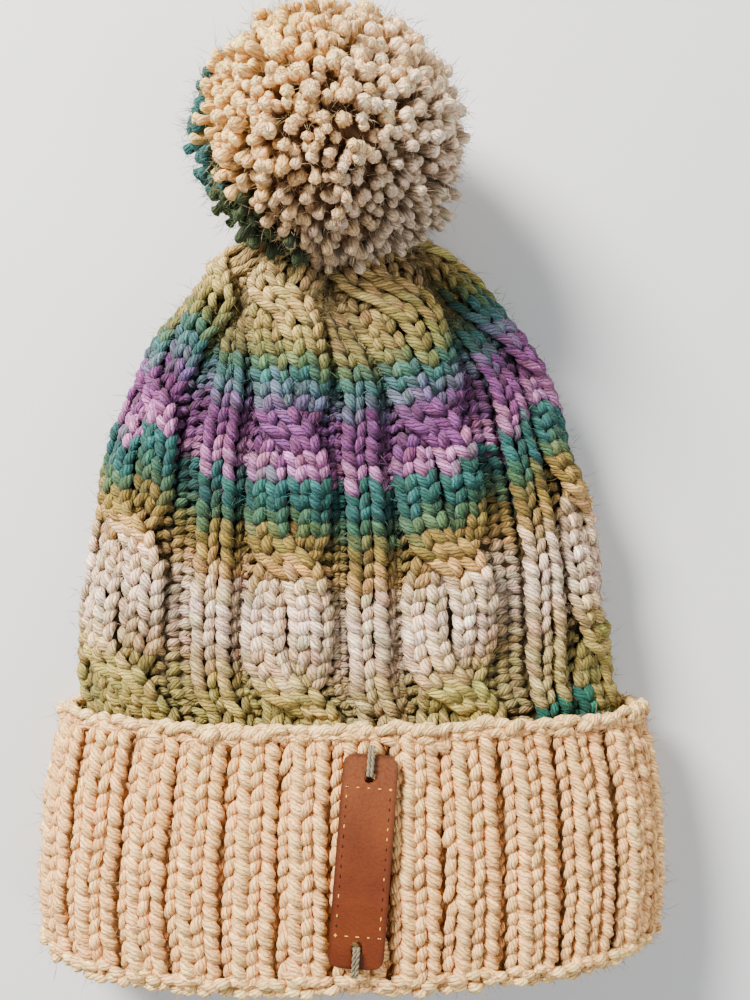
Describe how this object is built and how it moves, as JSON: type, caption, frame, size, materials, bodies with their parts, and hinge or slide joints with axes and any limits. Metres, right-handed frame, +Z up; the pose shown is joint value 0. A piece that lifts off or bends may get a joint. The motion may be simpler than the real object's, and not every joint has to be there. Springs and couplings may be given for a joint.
{
  "type": "bobble hat",
  "caption": "Knitted winter hat lying flat: cabled crown gathered to a pompom, ribbed turned-up cuff, and a leather label sewn on its front.",
  "frame": {"origin": "on the surface the hat lies on, under the middle of the whole hat", "axes": "+Y along the hat from the open brim to the pompom, +Z up from the surface, +X to the right when looking down with the pompom away"},
  "size_m": [0.1778, 0.2598, 0.0736],
  "materials": {
    "crown_yarn": "thick self-striping yarn, olive, cream, green, teal and purple bands",
    "cuff_yarn": "thick cream-peach yarn",
    "pompom_yarn": "cut yarn ends, cream and tan",
    "label_leather": "smooth cognac leather, satin",
    "label_thread": "grey-beige sewing thread"
  },
  "bodies": {
    "root": {"crown": "crown_yarn", "cuff": "cuff_yarn", "pompom": "pompom_yarn", "label": "label_leather", "label_thread_top": "label_thread", "label_thread_bottom": "label_thread"}
  },
  "joints": []
}
